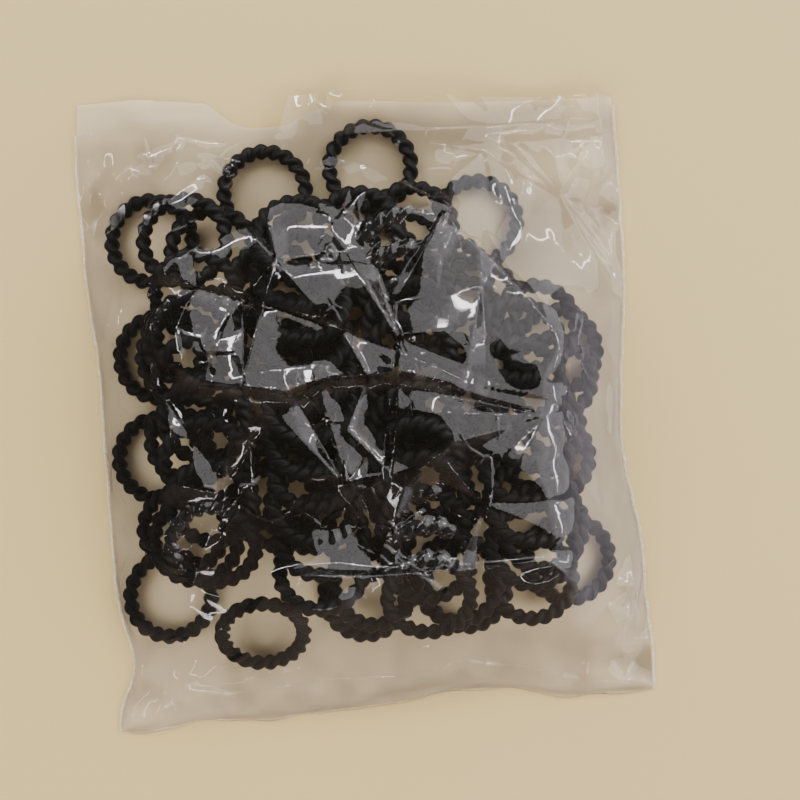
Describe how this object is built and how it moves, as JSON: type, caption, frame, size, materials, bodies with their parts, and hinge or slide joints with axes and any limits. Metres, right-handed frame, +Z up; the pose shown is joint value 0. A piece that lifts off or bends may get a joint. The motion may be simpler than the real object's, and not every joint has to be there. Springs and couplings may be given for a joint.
{
  "type": "leg band pack",
  "caption": "Clear film bag, open at one end and lying flat, filled with a heap of closed rubbery leg bands that have a rope-twist cord",
  "frame": {"origin": "bottom centre of the bounding box, on the surface that the bag lies on", "axes": "+X to the right across the bag, +Y along the bag towards its open mouth, +Z up through the film and the heap"},
  "size_m": [0.152, 0.1755, 0.0305],
  "materials": {
    "band": "matt charcoal black, moulded with a rope twist",
    "film": "clear glossy crinkled film",
    "seam": "melted edge of the clear film"
  },
  "bodies": {
    "bag": {"bottom_fold": "seam", "film_back": "film", "film_front": "film", "leaning_band": "band", "lower_fill_bands": "band", "rim_band_1": "band", "rim_band_10": "band", "rim_band_11": "band", "rim_band_12": "band", "rim_band_13": "band", "rim_band_2": "band", "rim_band_3": "band", "rim_band_4": "band", "rim_band_5": "band", "rim_band_6": "band", "rim_band_7": "band", "rim_band_8": "band", "rim_band_9": "band", "row_1_band_1": "band", "row_1_band_2": "band", "row_1_band_3": "band", "row_1_band_4": "band", "row_1_band_5": "band", "row_1_band_6": "band", "row_1_band_7": "band", "row_2_band_1": "band", "row_2_band_10": "band", "row_2_band_11": "band", "row_2_band_2": "band", "row_2_band_3": "band", "row_2_band_4": "band", "row_2_band_5": "band", "row_2_band_6": "band", "row_2_band_7": "band", "row_2_band_8": "band", "row_2_band_9": "band", "row_3_band_1": "band", "row_3_band_10": "band", "row_3_band_11": "band", "row_3_band_2": "band", "row_3_band_3": "band", "row_3_band_4": "band", "row_3_band_5": "band", "row_3_band_6": "band", "row_3_band_7": "band", "row_3_band_8": "band", "row_3_band_9": "band", "row_4_band_1": "band", "row_4_band_2": "band", "row_4_band_3": "band", "row_4_band_4": "band", "row_4_band_5": "band", "row_4_band_6": "band", "side_seam_left": "seam", "side_seam_right": "seam", "upper_fill_bands": "band"},
    "lip": {"mouth_lip": "film"},
    "loose_band_1": {"mouth_band_1": "band"},
    "loose_band_2": {"mouth_band_2": "band"},
    "loose_band_3": {"mouth_band_3": "band"}
  },
  "joints": [
    {"name": "lip_opening", "type": "hinge", "parent": "bag", "child": "lip", "pos_m": [0.026, 0.0732, 0.0054], "axis": [1, 0, 0], "range_deg": [0, 100]},
    {"name": "band_1_withdrawal", "type": "slide", "parent": "bag", "child": "loose_band_1", "axis": [0, 1, 0], "range_m": [0, 0.045]},
    {"name": "band_2_withdrawal", "type": "slide", "parent": "bag", "child": "loose_band_2", "axis": [0, 1, 0], "range_m": [0, 0.04]},
    {"name": "band_3_withdrawal", "type": "slide", "parent": "bag", "child": "loose_band_3", "axis": [0, 1, 0], "range_m": [0, 0.055]}
  ]
}
